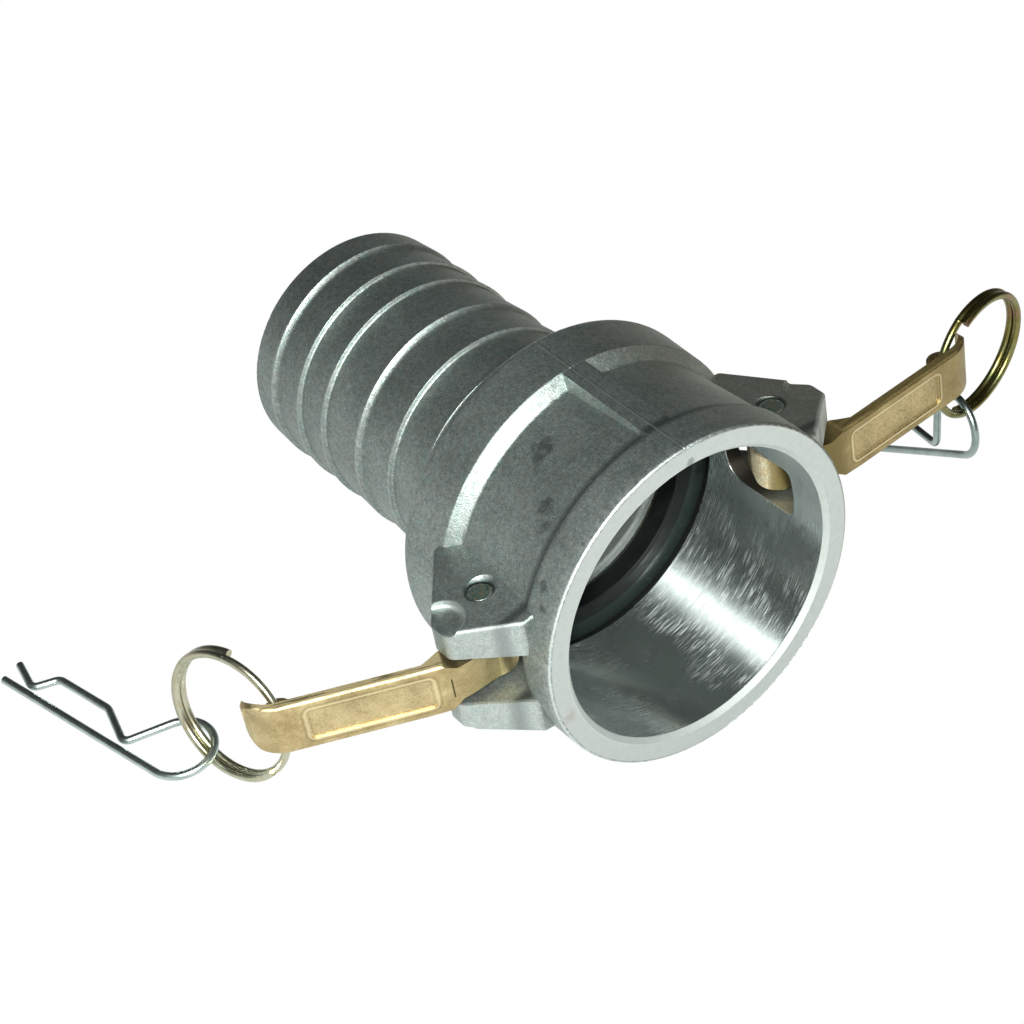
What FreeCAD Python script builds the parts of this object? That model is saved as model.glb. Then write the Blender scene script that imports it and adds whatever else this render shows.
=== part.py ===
"""Cam and groove coupling: a cast socket with two cam levers and a ribbed hose shank.

Everything is built about the socket's axis (X, out of the mouth) with the lever pins along Z.
The finished coupling is then laid over about X, the way it rests on its collar and one ring.
"""
import math
import os

import FreeCAD
import Part

V = FreeCAD.Vector
X, Y, Z = V(1, 0, 0), V(0, 1, 0), V(0, 0, 1)

# How it lies: turned about its own axis until the left ring stands on the surface
LIE_ROLL = 13.0

# Socket, measured from the mouth face
LENGTH = 142.8
BORE_R = 38.15
MOUTH_CHAMFER = 1.25
BORE_DEPTH = 42.6
GROOVE_R = 39.9
GROOVE_WIDTH = 8.7
RIM_R = 44.6
RIM_ROUND = 0.6
BAND_WIDTH = 10.2
BAND_STEP = 0.4
RECESS_FRONT_R = 43.6
RECESS_BACK_R = 42.2
COLLAR_SLOPE = 3.0
COLLAR_FRONT_R = 45.3
COLLAR_R = 45.9
COLLAR_WIDTH = 15.3
COLLAR_ROUND = 3.0
LAND_FROM = -1.5
LAND_TO = 5.0
LAND_LEAN_FROM = 0.4
LAND_LEAN_TO = 0.7

# Hose shank, measured from its free end
SHANK_BORE_R = 27.5
SHANK_END_R = 31.2
SHANK_END_ROUND = 1.0
SHANK_PLAIN_R = 31.0
SHANK_FILLET = 3.0
BARB_CREST_R = 31.8
BARB_ROOT_R = 30.7
BARB_AT = (8.9, 20.7, 31.8, 47.2, 61.4, 74.4)
BARB_SOFT = (True, False, False, True, False, False)
BARB_SOFT_RUN = 1.1
BARB_SOFT_ROUND = 2.0
BARB_SHARP_RUN = 0.5
BARB_SHARP_ROUND = 0.6

# Gasket
GASKET_OUTER_R = 39.7
GASKET_INNER_R = 30.15
GASKET_THICK = 6.2
GASKET_ROUND = 0.8
GASKET_SEAT_GAP = 0.1

# Lever pins
PIN_SETBACK = 23.8
PIN_OFFSET = 44.05
PIN_R = 3.175
PIN_LENGTH = 33.2
PIN_EDGE = 0.4
PIN_FIT = 0.02
LEVER_FIT = 0.06

# Ear plates
EAR_GAP_HALF = 7.4
EAR_ROOT_HEIGHT = 17.4
EAR_DRAFT = 0.15
EAR_REACH = 57.5
EAR_BACK = 42.5
EAR_BACK_REACH = 43.5
EAR_TIP_BACK = 25.0
EAR_TIP_FRONT = 19.6
EAR_FRONT = 7.4
EAR_FRONT_REACH = 43.6
EAR_INSIDE = 36.0
EAR_CORNER_R = 2.5
EAR_EDGE = 0.8
EAR_SPOT_R = 5.8
EAR_SPOT_DEPTH = 1.2
EAR_SPOT_ROUND = 1.0
EAR_SPOT_REACH = 55.5
EAR_SINK_R = 3.9
EAR_SINK = 0.5

# Cam windows
WINDOW_BACK = 36.5
WINDOW_FRONT = 11.5
WINDOW_HALF = 7.2
WINDOW_FRONT_R = 2.0
WINDOW_BACK_R = 6.5

# Levers: u runs from the pin to the tip, w outwards, with the lever closed
LEVER_OPEN_LEFT = 64.2
LEVER_OPEN_RIGHT = 88.0
HANDLE_FACE = 11.2
HANDLE_THICK = 2.5
HANDLE_HALF = 7.2
HANDLE_START = 12.6
HANDLE_EDGE = 0.8
TIP_ARC_U = 50.0
TIP_ARC_W = 2.0
TIP_END_ANGLE = 10.0
TIP_END_THICK = 0.8
TIP_CORNER_R = 4.5
HUB_R = 5.8
HUB_HALF = 4.9
NECK_END = 9.0
NOSE_R = 4.0
NOSE_U = 1.0
NOSE_W = 6.0
ELBOW_U = 12.0
ELBOW_BACK = 5.0
ELBOW_RUN = 5.0
PANEL_START = 15.0
PANEL_LENGTH = 30.0
PANEL_HALF = 4.6
PANEL_DEPTH = 0.5
PANEL_CORNER_R = 1.6
LUG_HALF = 2.1
LUG_R = 3.7
LUG_START = 43.0
LUG_HOLE_U = 50.8
LUG_HOLE_W = 5.8
LUG_HOLE_R = 2.4

# Split rings: two turns of wire, single over part of the way round
RING_R = 16.4
RING_WIRE_R = 1.0
RING_TURN_GAP = 0.08
RING_SINGLE = 130.0
RING_TRIM = 0.4
RING_BEND_SWELL = 0.04
RING_LEFT_END = 111.0
RING_RIGHT_END = 137.0
RING_LEFT_SWING = 201.5
RING_RIGHT_SWING = 102.0
RING_LEFT_DROOP = 20.0
RING_RIGHT_DROOP = 22.5
RING_LEFT_TWIST = -13.0
RING_RIGHT_TWIST = -5.0

# Safety clips: a straight leg along x, a round bend and a waved leg
CLIP_WIRE_R = 1.0
CLIP_LEG = 53.0
CLIP_BEND_R = 8.45
CLIP_BEND_X = -1.1
CLIP_RETURN = 60.4
CLIP_WAVE = ((12.2, -2.2, 2.0), (23.1, -7.7, 4.0), (40.6, -7.7, 2.5), (44.7, -1.95, 2.2))
CLIP_TIP = (53.2, -5.5)
CLIP_LEFT_AT = 334.6
CLIP_LEFT_HOOK = (-2.9, -13.1, 0)
CLIP_LEFT_TURN = (-167.9, -1.8, -3.2)
CLIP_RIGHT_AT = 269.5
CLIP_RIGHT_HOOK = (-5.35, -12.1, 0.4)
CLIP_RIGHT_TURN = (173.5, 30.5, -84.0)


def polar(centre, radius, degrees):
    """Point on a circle in the drawing plane."""
    a = math.radians(degrees)
    return V(centre[0] + radius * math.cos(a), centre[1] + radius * math.sin(a), 0)


def path_wire(parts):
    """Wire from a list of point lists: two points make a line, three an arc."""
    edges = []
    for p in parts:
        edges.append(Part.makeLine(*p) if len(p) == 2 else Part.Arc(*p).toShape())
    return Part.Wire(edges)


def rounded_polygon(corners):
    """Closed wire through corners (x, y, radius), each rounded by its radius."""
    n = len(corners)
    starts, ends, mids = [], [], []
    for i, (x, y, r) in enumerate(corners):
        p = V(x, y, 0)
        a = (V(*corners[i - 1][:2], 0) - p).normalize()
        b = (V(*corners[(i + 1) % n][:2], 0) - p).normalize()
        half = a.getAngle(b) / 2
        reach = r / math.tan(half) if r else 0
        starts.append(p + a * reach)
        ends.append(p + b * reach)
        mids.append(p + (a + b).normalize() * (r / math.sin(half) - r) if r else p)
    parts = []
    for i in range(n):
        if corners[i][2]:
            parts.append((starts[i], mids[i], ends[i]))
        if (starts[(i + 1) % n] - ends[i]).Length > 1e-6:
            parts.append((ends[i], starts[(i + 1) % n]))
    return path_wire(parts)


def prism(wire, low, high):
    """Solid between two heights on a closed wire drawn at height 0."""
    face = Part.Face(wire)
    face.translate(V(0, 0, low))
    return face.extrude(V(0, 0, high - low))


def turned(points):
    """Solid of revolution about X from (x, r) points, a third value rounds the corner."""
    corners = [(p[0], p[1], p[2] if len(p) > 2 else 0) for p in points]
    return Part.Face(rounded_polygon(corners)).revolve(V(0, 0, 0), X, 360)


def shank_points():
    """Outer outline of the ribbed shank, from its free end to the collar."""
    end = -LENGTH
    points = [(end, SHANK_END_R, SHANK_END_ROUND)]
    for at, soft in zip(BARB_AT, BARB_SOFT):
        run = BARB_SOFT_RUN if soft else BARB_SHARP_RUN
        foot = BARB_SOFT_ROUND if soft else BARB_SHARP_ROUND
        root = SHANK_PLAIN_R if at == BARB_AT[-1] else BARB_ROOT_R
        points += [(end + at, BARB_CREST_R, 0.15), (end + at + run, root, foot)]
    return points


def socket_points():
    """Outer outline of the socket, from the collar's back to the mouth."""
    slope_top = -BORE_DEPTH + COLLAR_SLOPE / 2
    slope_foot = slope_top + COLLAR_SLOPE
    back = slope_top - COLLAR_WIDTH
    return [
        (back, SHANK_PLAIN_R, SHANK_FILLET),
        (back, COLLAR_R, COLLAR_ROUND),
        (slope_top, COLLAR_FRONT_R, 0.5),
        (slope_foot, RECESS_BACK_R, 1.0),
        (-BAND_WIDTH - BAND_STEP, RECESS_FRONT_R),
        (-BAND_WIDTH, RIM_R, 0.3),
        (0, RIM_R, RIM_ROUND),
    ]


def bore_points():
    """Inside outline, from the mouth to the free end of the shank."""
    groove_back = -BORE_DEPTH - GROOVE_WIDTH
    return [
        (0, BORE_R + MOUTH_CHAMFER),
        (-MOUTH_CHAMFER, BORE_R),
        (-BORE_DEPTH, BORE_R),
        (-BORE_DEPTH, GROOVE_R),
        (groove_back, GROOVE_R),
        (groove_back, SHANK_BORE_R, 0.8),
        (-LENGTH, SHANK_BORE_R),
    ]


def ear_plate():
    """Upper ear plate on the +Y side."""
    plan = rounded_polygon([
        (-EAR_BACK, EAR_INSIDE, 0),
        (-EAR_BACK, EAR_BACK_REACH, 1.5),
        (-EAR_TIP_BACK, EAR_REACH, EAR_CORNER_R),
        (-EAR_TIP_FRONT, EAR_REACH, EAR_CORNER_R),
        (-EAR_FRONT, EAR_FRONT_REACH, 0),
        (-EAR_FRONT, EAR_INSIDE, 0),
    ])
    plate = prism(plan, EAR_GAP_HALF, EAR_ROOT_HEIGHT + 10)

    def top(y):
        return EAR_ROOT_HEIGHT - EAR_DRAFT * (y - PIN_OFFSET)

    side = [(EAR_INSIDE - 1, 0), (EAR_REACH + 1, 0)]
    side += [(EAR_REACH + 1, top(EAR_REACH + 1)), (EAR_INSIDE - 1, top(EAR_INSIDE - 1))]
    wire = Part.makePolygon([V(-EAR_BACK - 1, y, z) for y, z in side + side[:1]])
    plate = plate.common(Part.Face(wire).extrude(X * (EAR_BACK + 1)))
    rim = [e for e in plate.Edges if on_sloped_rim(e, top)]
    plate = plate.makeFillet(EAR_EDGE, rim)
    foot = V(-PIN_SETBACK, EAR_SPOT_REACH, top(EAR_SPOT_REACH) - EAR_SPOT_DEPTH)
    mill = Part.makeCylinder(EAR_SPOT_R, 20, foot)
    mill = mill.makeFillet(EAR_SPOT_ROUND, [e for e in mill.Edges if e.Closed and e.BoundBox.ZMax < foot.z + 1])
    return plate.cut(mill)


def on_sloped_rim(edge, top):
    """Edge of the ear's sloping top that lies outside the socket wall."""
    ends = [v.Point for v in edge.Vertexes] + [edge.valueAt(edge.FirstParameter)]
    return all(abs(p.z - top(p.y)) < 1e-4 for p in ends) and max(p.y for p in ends) > EAR_BACK_REACH - 2


def window():
    """Prism that cuts the cam windows through the wall on both sides."""
    wire = rounded_polygon([
        (-WINDOW_BACK, -WINDOW_HALF, WINDOW_BACK_R),
        (-WINDOW_FRONT, -WINDOW_HALF, WINDOW_FRONT_R),
        (-WINDOW_FRONT, WINDOW_HALF, WINDOW_FRONT_R),
        (-WINDOW_BACK, WINDOW_HALF, WINDOW_BACK_R),
    ])
    solid = prism(wire, -EAR_REACH, EAR_REACH)
    solid.rotate(V(0, 0, 0), X, 90)
    return solid


def mould_land():
    """Narrow land along the mould joint at the top of the socket, with leaning sides."""
    front = -BAND_WIDTH + 1
    back = -BORE_DEPTH + COLLAR_SLOPE / 2 - 1
    low = BORE_R + 2
    cover = turned([(back, low), (back, COLLAR_FRONT_R - 0.05), (front, RIM_R - 0.1), (front, low)])
    drop = COLLAR_FRONT_R - low
    points = [
        (LAND_FROM - LAND_LEAN_FROM * drop, low - 1),
        (LAND_FROM, COLLAR_FRONT_R),
        (LAND_FROM, COLLAR_R),
        (LAND_TO, COLLAR_R),
        (LAND_TO, COLLAR_FRONT_R),
        (LAND_TO + LAND_LEAN_TO * drop, low - 1),
    ]
    wire = Part.makePolygon([V(back - 1, y, z) for y, z in points + points[:1]])
    return cover.common(Part.Face(wire).extrude(X * (front - back + 2)))


def half_turn(shape):
    """Copy turned half round the socket's axis."""
    other = shape.copy()
    other.rotate(V(0, 0, 0), X, 180)
    return other


def make_body():
    """Cast and machined body: shank, collar, socket and ear plates in one piece."""
    skin = turned([(-LENGTH, 0)] + shank_points() + socket_points() + [(0, 0)])
    ear = ear_plate()
    lower = ear.mirror(V(0, 0, 0), Z)
    adds = []
    for shape in (ear, lower, mould_land()):
        adds += [shape, half_turn(shape)]
    body = skin.multiFuse(adds)
    ends = [(-LENGTH - 1, SHANK_BORE_R), (-LENGTH - 1, 0), (1, 0), (1, BORE_R + MOUTH_CHAMFER)]
    body = body.cut(turned(bore_points() + ends))
    body = body.cut(window())
    for side in (1, -1):
        foot = V(-PIN_SETBACK, side * PIN_OFFSET, -EAR_ROOT_HEIGHT - 5)
        body = body.cut(Part.makeCylinder(PIN_R + PIN_FIT, 2 * EAR_ROOT_HEIGHT + 10, foot))
        for up in (1, -1):
            mouth = V(-PIN_SETBACK, side * PIN_OFFSET, up * (EAR_ROOT_HEIGHT + 1))
            body = body.cut(Part.makeCone(EAR_SINK_R + 1, PIN_R + PIN_FIT, EAR_SINK + 1, mouth, Z * -up))
    return body.removeSplitter()


def make_gasket():
    """Flat rubber ring seated against the back of its groove."""
    back = -BORE_DEPTH - GROOVE_WIDTH + GASKET_SEAT_GAP
    front = back + GASKET_THICK
    return turned([
        (back, GASKET_INNER_R, GASKET_ROUND),
        (back, GASKET_OUTER_R, GASKET_ROUND),
        (front, GASKET_OUTER_R, GASKET_ROUND),
        (front, GASKET_INNER_R, GASKET_ROUND),
    ])


def make_pin(side):
    """Pivot pin, chamfered at both ends."""
    pin = Part.makeCylinder(PIN_R, PIN_LENGTH, V(-PIN_SETBACK, side * PIN_OFFSET, -PIN_LENGTH / 2))
    ends = [e for e in pin.Edges if e.Closed]
    return pin.makeChamfer(PIN_EDGE, ends)


def lever_side():
    """Side outline of the whole lever, drawn in u and w."""
    outer_r = HANDLE_FACE - TIP_ARC_W
    inner_r = outer_r - HANDLE_THICK
    centre = (TIP_ARC_U, TIP_ARC_W)
    middle = (90 + TIP_END_ANGLE) / 2
    end_out = polar(centre, outer_r, TIP_END_ANGLE)
    end_in = polar(centre, outer_r - TIP_END_THICK, TIP_END_ANGLE)
    mid_thick = (HANDLE_THICK + TIP_END_THICK) / 2
    back = HANDLE_FACE - HANDLE_THICK
    elbow = ELBOW_U + ELBOW_RUN
    handle = path_wire([
        (V(ELBOW_U, HANDLE_FACE - 0.2, 0), V(elbow, HANDLE_FACE, 0)),
        (V(elbow, HANDLE_FACE, 0), V(TIP_ARC_U, HANDLE_FACE, 0)),
        (V(TIP_ARC_U, HANDLE_FACE, 0), polar(centre, outer_r, middle), end_out),
        (end_out, end_in),
        (end_in, polar(centre, outer_r - mid_thick, middle), polar(centre, inner_r, 90)),
        (polar(centre, inner_r, 90), V(elbow, back, 0)),
        (V(elbow, back, 0), V(ELBOW_U + 2.9, back - 1.4, 0), V(ELBOW_U, ELBOW_BACK, 0)),
        (V(ELBOW_U, ELBOW_BACK, 0), V(ELBOW_U, HANDLE_FACE - 0.2, 0)),
    ])
    return handle


def neck_side():
    """Side outline of the neck between the handle's elbow and the hub."""
    start = polar((0, 0), HUB_R, 112)
    tail = polar((0, 0), HUB_R, 5)
    outer = Part.BSplineCurve()
    outer.interpolate([start, V(1.1, 6.5, 0), V(4.4, 8.2, 0), V(7.6, 9.6, 0), V(ELBOW_U, HANDLE_FACE - 0.2, 0)])
    edges = [
        outer.toShape(),
        Part.makeLine(V(ELBOW_U, HANDLE_FACE - 0.2, 0), V(ELBOW_U, ELBOW_BACK, 0)),
        Part.Arc(V(ELBOW_U, ELBOW_BACK, 0), V(ELBOW_U - 3.6, 2.1, 0), tail).toShape(),
        Part.makeLine(tail, V(0, 0, 0)),
        Part.makeLine(V(0, 0, 0), start),
    ]
    return Part.Wire(edges)


def nose_side():
    """Side outline of the cam nose, tangent to the hub."""
    along = V(NOSE_U, -NOSE_W, 0).normalize()
    reach = math.hypot(NOSE_U, NOSE_W)
    lean = math.asin((HUB_R - NOSE_R) / reach)
    out = []
    for side in (1, -1):
        across = V(-along.y, along.x, 0) * side
        normal = across * math.cos(lean) + along * math.sin(lean)
        out.append((normal * HUB_R, along * reach + normal * NOSE_R))
    tip = along * (reach + NOSE_R)
    heel = along * -HUB_R
    return path_wire([
        (out[0][0], out[0][1]),
        (out[0][1], tip, out[1][1]),
        (out[1][1], out[1][0]),
        (out[1][0], heel, out[0][0]),
    ])


def lever_plan():
    """Plan outline that narrows the lever at its neck and rounds its tip."""
    outer_r = HANDLE_FACE - TIP_ARC_W
    end = TIP_ARC_U + outer_r
    narrow = HUB_HALF
    return rounded_polygon([
        (-HUB_R - 1, -narrow, 0),
        (NECK_END, -narrow, 2.0),
        (HANDLE_START, -HANDLE_HALF, 2.0),
        (end, -HANDLE_HALF, TIP_CORNER_R),
        (end, HANDLE_HALF, TIP_CORNER_R),
        (HANDLE_START, HANDLE_HALF, 2.0),
        (NECK_END, narrow, 2.0),
        (-HUB_R - 1, narrow, 0),
    ])


def make_lever():
    """Closed lever with its pin hole on the Z axis, u along X and w along Y."""
    lever = prism(lever_side(), -HANDLE_HALF, HANDLE_HALF)
    lever = lever.makeFillet(HANDLE_EDGE, [e for e in lever.Edges if on_handle_edge(e)])
    inner = [prism(side, -HANDLE_HALF, HANDLE_HALF) for side in (neck_side(), nose_side())]
    lever = lever.fuse(inner)
    plan = prism(lever_plan(), -HANDLE_FACE - 5, HANDLE_FACE + 5)
    plan.rotate(V(0, 0, 0), X, 90)
    lever = lever.common(plan).removeSplitter()

    panel = rounded_polygon([
        (PANEL_START, -PANEL_HALF, PANEL_CORNER_R),
        (PANEL_START + PANEL_LENGTH, -PANEL_HALF, PANEL_CORNER_R),
        (PANEL_START + PANEL_LENGTH, PANEL_HALF, PANEL_CORNER_R),
        (PANEL_START, PANEL_HALF, PANEL_CORNER_R),
    ])
    panel = prism(panel, 0, 3)
    panel.rotate(V(0, 0, 0), X, -90)
    panel.translate(V(0, HANDLE_FACE - PANEL_DEPTH, 0))
    lever = lever.cut(panel)

    back = HANDLE_FACE - HANDLE_THICK / 2
    lug = Part.makePolygon([
        V(LUG_START, back, 0),
        V(LUG_HOLE_U - 2.2, LUG_HOLE_W - LUG_R * 0.8, 0),
        V(LUG_HOLE_U + LUG_R, LUG_HOLE_W, 0),
        V(LUG_HOLE_U + LUG_R, back - 1.2, 0),
        V(TIP_ARC_U, back, 0),
        V(LUG_START, back, 0),
    ])
    lug = prism(lug, -LUG_HALF, LUG_HALF)
    eye = Part.makeCylinder(LUG_R, 2 * LUG_HALF, V(LUG_HOLE_U, LUG_HOLE_W, -LUG_HALF))
    lever = lever.fuse([lug, eye])
    lever = lever.cut(Part.makeCylinder(LUG_HOLE_R, 4 * LUG_HALF, V(LUG_HOLE_U, LUG_HOLE_W, -2 * LUG_HALF)))
    lever = lever.cut(Part.makeCylinder(PIN_R + LEVER_FIT, 4 * HUB_HALF, V(0, 0, -2 * HUB_HALF)))
    return lever.removeSplitter()


def on_handle_edge(edge):
    """Edge along either side of the handle's outer face and its curled tip."""
    outer_r = HANDLE_FACE - TIP_ARC_W
    for vertex in edge.Vertexes:
        p = vertex.Point
        level = abs(p.y - HANDLE_FACE) < 1e-4
        curled = abs(math.hypot(p.x - TIP_ARC_U, p.y - TIP_ARC_W) - outer_r) < 1e-4
        if abs(abs(p.z) - HANDLE_HALF) > 1e-4 or not (level or curled):
            return False
    return edge.Length < 2 * TIP_ARC_U and edge.Vertexes[0].Point.z == edge.Vertexes[1].Point.z


def lever_seat(side, opened):
    """Placement that carries the closed lever to its pin and opens it."""
    pin = V(-PIN_SETBACK, side * PIN_OFFSET, 0)
    turn = FreeCAD.Placement(V(0, 0, 0), FreeCAD.Rotation(Z, 180))
    if side > 0:
        flip = FreeCAD.Placement(V(0, 0, 0), FreeCAD.Rotation(X, 180))
        turn = flip.multiply(turn)
    swing = FreeCAD.Placement(pin, FreeCAD.Rotation(Z, -side * opened))
    return swing.multiply(turn)


def place_lever(side, opened):
    """Lever on its pin at the given opening."""
    lever = make_lever()
    lever.Placement = lever_seat(side, opened).multiply(lever.Placement)
    return lever


def ring_frame(side, opened, swing, droop, twist):
    """Centre, outward direction, other direction and normal of a ring in its lug hole."""
    hole = lever_seat(side, opened).multVec(V(LUG_HOLE_U, LUG_HOLE_W, 0))
    phi, tau, psi = math.radians(swing), math.radians(-droop), math.radians(twist)
    out = V(math.cos(phi) * math.cos(tau), math.sin(phi) * math.cos(tau), math.sin(tau))
    up = V(-math.cos(phi) * math.sin(tau), -math.sin(phi) * math.sin(tau), math.cos(tau))
    rise = up * math.cos(psi) + up.cross(out) * math.sin(psi)
    return hole + out * RING_R, out, rise, out.cross(rise)


def ring_point(frame, angle):
    """Point on the middle line of the ring; the lug hole is at 180 degrees."""
    centre, out, rise, _ = frame
    a = math.radians(angle)
    return centre + (out * math.cos(a) + rise * math.sin(a)) * RING_R


def make_ring(frame, end):
    """Double-turn split ring whose first free end is at the given angle."""
    centre, out, rise, normal = frame
    step = RING_WIRE_R + RING_TURN_GAP / 2
    span = 360 - RING_SINGLE - RING_TRIM
    lower = wire_arc(RING_R, end + RING_SINGLE, span, -step)
    upper = wire_arc(RING_R, end + RING_SINGLE + RING_TRIM, span, step)
    lean = math.degrees(math.asin(step / (RING_R * math.sin(math.radians(RING_SINGLE / 2)))))
    bridge = wire_arc(RING_R, RING_TRIM - RING_SINGLE / 2, RING_SINGLE - 2 * RING_TRIM, 0)
    bridge.rotate(V(0, 0, 0), X, lean)
    bridge.rotate(V(0, 0, 0), Z, end + RING_SINGLE / 2)
    bends = []
    for angle, height in ((end, -step), (end + RING_SINGLE, step)):
        bends.append(Part.makeSphere(RING_WIRE_R + RING_BEND_SWELL, polar((0, 0), RING_R, angle) + Z * height))
    ring = lower.fuse([upper, bridge] + bends)
    ring.Placement = FreeCAD.Placement(centre, FreeCAD.Rotation(out, rise, normal, "XYZ"))
    return ring


def wire_arc(radius, start, span, height):
    """Round wire along part of a circle about Z."""
    section = Part.Face(Part.Wire(Part.makeCircle(RING_WIRE_R, V(radius, 0, height), Y)))
    arc = section.revolve(V(0, 0, 0), Z, span)
    arc.rotate(V(0, 0, 0), Z, start)
    return arc


def clip_wire():
    """Middle line of the safety clip, drawn flat."""
    centre = (CLIP_BEND_X, -CLIP_BEND_R)
    leave = polar(centre, CLIP_BEND_R, CLIP_RETURN - 90)
    parts = [(V(CLIP_LEG, 0, 0), V(CLIP_BEND_X, 0, 0))]
    parts.append((V(CLIP_BEND_X, 0, 0), polar(centre, CLIP_BEND_R, 180), polar(centre, CLIP_BEND_R, 270)))
    parts.append((polar(centre, CLIP_BEND_R, 270), polar(centre, CLIP_BEND_R, 225 + CLIP_RETURN), leave))
    here = leave
    corners = list(CLIP_WAVE) + [(CLIP_TIP[0], CLIP_TIP[1], 0)]
    for i in range(len(CLIP_WAVE)):
        x, y, r = corners[i]
        p, after = V(x, y, 0), V(corners[i + 1][0], corners[i + 1][1], 0)
        a, b = (here - p).normalize(), (after - p).normalize()
        half = a.getAngle(b) / 2
        first, last = p + a * (r / math.tan(half)), p + b * (r / math.tan(half))
        middle = p + (a + b).normalize() * (r / math.sin(half) - r)
        parts += [(here, first), (first, middle, last)]
        here = last
    parts.append((here, V(CLIP_TIP[0], CLIP_TIP[1], 0)))
    return path_wire(parts)


def make_clip(frame, at, hook, turn):
    """Safety clip threaded on the ring at the given angle."""
    spine = clip_wire()
    section = Part.Wire(Part.makeCircle(CLIP_WIRE_R, V(CLIP_LEG, 0, 0), X))
    clip = spine.makePipeShell([section], True, False)
    rotation = FreeCAD.Rotation(*turn)
    base = ring_point(frame, at) - rotation.multVec(V(*hook))
    clip.Placement = FreeCAD.Placement(base, rotation)
    return clip


def lay_down(shape):
    """The coupling's own attitude on the surface."""
    shape.rotate(V(0, 0, 0), X, LIE_ROLL)
    return shape


def main():
    """Build every piece and write one STEP file for each."""
    left = ring_frame(-1, LEVER_OPEN_LEFT, RING_LEFT_SWING, RING_LEFT_DROOP, RING_LEFT_TWIST)
    right = ring_frame(1, LEVER_OPEN_RIGHT, RING_RIGHT_SWING, RING_RIGHT_DROOP, RING_RIGHT_TWIST)
    shapes = {
        "body": make_body(),
        "gasket": make_gasket(),
        "pin_left": make_pin(-1),
        "pin_right": make_pin(1),
        "lever_left": place_lever(-1, LEVER_OPEN_LEFT),
        "lever_right": place_lever(1, LEVER_OPEN_RIGHT),
        "ring_left": make_ring(left, RING_LEFT_END),
        "ring_right": make_ring(right, RING_RIGHT_END),
        "clip_left": make_clip(left, CLIP_LEFT_AT, CLIP_LEFT_HOOK, CLIP_LEFT_TURN),
        "clip_right": make_clip(right, CLIP_RIGHT_AT, CLIP_RIGHT_HOOK, CLIP_RIGHT_TURN),
    }
    os.makedirs("parts", exist_ok=True)
    for name, shape in shapes.items():
        lay_down(shape).exportStep(f"parts/{name}.step")


main()
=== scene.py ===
"""Looks of the cam and groove coupling: finishes, fine detail, stage, light and camera."""

import logging
import math
from dataclasses import dataclass
from enum import Enum
from typing import Mapping, Sequence, Union

import bpy
from mathutils import Matrix, Vector


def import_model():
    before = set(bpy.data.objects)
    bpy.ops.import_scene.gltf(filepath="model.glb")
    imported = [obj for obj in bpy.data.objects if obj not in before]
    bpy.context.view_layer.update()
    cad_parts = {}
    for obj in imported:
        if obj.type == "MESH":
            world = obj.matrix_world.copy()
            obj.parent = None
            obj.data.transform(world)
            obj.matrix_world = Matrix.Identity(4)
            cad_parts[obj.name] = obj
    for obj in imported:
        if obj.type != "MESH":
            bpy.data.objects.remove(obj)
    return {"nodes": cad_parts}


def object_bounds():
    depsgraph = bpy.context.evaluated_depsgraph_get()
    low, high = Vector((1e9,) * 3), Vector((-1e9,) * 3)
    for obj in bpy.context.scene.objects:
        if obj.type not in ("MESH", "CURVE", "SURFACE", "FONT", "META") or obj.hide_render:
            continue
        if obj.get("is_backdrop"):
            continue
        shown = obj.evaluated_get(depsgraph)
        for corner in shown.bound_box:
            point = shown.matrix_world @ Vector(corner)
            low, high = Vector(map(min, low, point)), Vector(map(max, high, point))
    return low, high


log = logging.getLogger("coupling")

MM = 1000.0
Value = Union["Field", float, Sequence[float]]
Tint = Union["Field", str]
Stops = tuple[tuple[float, str], ...]


class Side(Enum):
    """Side of the coupling that a lever is on: left is -Y, right is +Y."""

    LEFT = -1
    RIGHT = 1


@dataclass(frozen=True)
class Sizes:
    """Sizes in millimetres about the socket's axis: x runs out of the mouth, which is at 0."""

    # how it lies, turned about that axis
    roll: float = math.radians(13.0)
    # socket and shank
    bore_r: float = 38.15
    bore_end: float = -42.6
    mouth_chamfer: float = 1.25
    groove_r: float = 40.2
    groove_end: float = -51.5
    pipe_r: float = 29.6
    pipe_start: float = -50.0
    # rim, ribs and mould joint
    rim_r: float = 44.6
    rim_round: float = 0.6
    band_back: float = -11.1
    crest_r: float = 31.8
    shank_start: float = -65.0
    land_edge: float = -1.5
    fin_at: float = 1.2
    fin_height: float = 30.0
    # pins, ears and cam windows
    pin_back: float = -23.8
    pin_out: float = 44.05
    ear_tip: float = -19.6
    ear_reach: float = 57.5
    ear_gap: float = 7.4
    ear_cut_out: float = 55.5
    ear_cut_r: float = 5.8
    window_half: float = 12.7
    gasket_lip_r: float = 34.1

    def laid_over(self) -> Matrix:
        """Turn from the coupling's own axes to the row's axes."""
        return Matrix.Rotation(self.roll, 4, "X")

    def lever_axes(self, side: Side) -> Matrix:
        """Place of a lever's own axes, in millimetres.

        Args:
            side: Side of the lever.

        Returns:
            Matrix from lever coordinates (u to the tip, w outwards) to the row's axes.
        """
        opened = math.radians(64.2 if side is Side.LEFT else 88.0)
        along = Vector((-math.cos(opened), side.value * math.sin(opened), 0))
        outward = Vector((math.sin(opened), side.value * math.cos(opened), 0))
        axes = Matrix((along, outward, along.cross(outward))).transposed().to_4x4()
        axes.translation = Vector((self.pin_back, side.value * self.pin_out, 0))
        return self.laid_over() @ axes


def srgb(text: str) -> tuple[float, float, float, float]:
    """Linear colour of an sRGB hex code.

    Args:
        text: Six hex digits.

    Returns:
        Red, green, blue and alpha for a shader socket.
    """
    parts = [int(text[i:i + 2], 16) / 255 for i in (0, 2, 4)]
    lin = [p / 12.92 if p <= 0.04045 else ((p + 0.055) / 1.055) ** 2.4 for p in parts]
    return (lin[0], lin[1], lin[2], 1.0)


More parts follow.
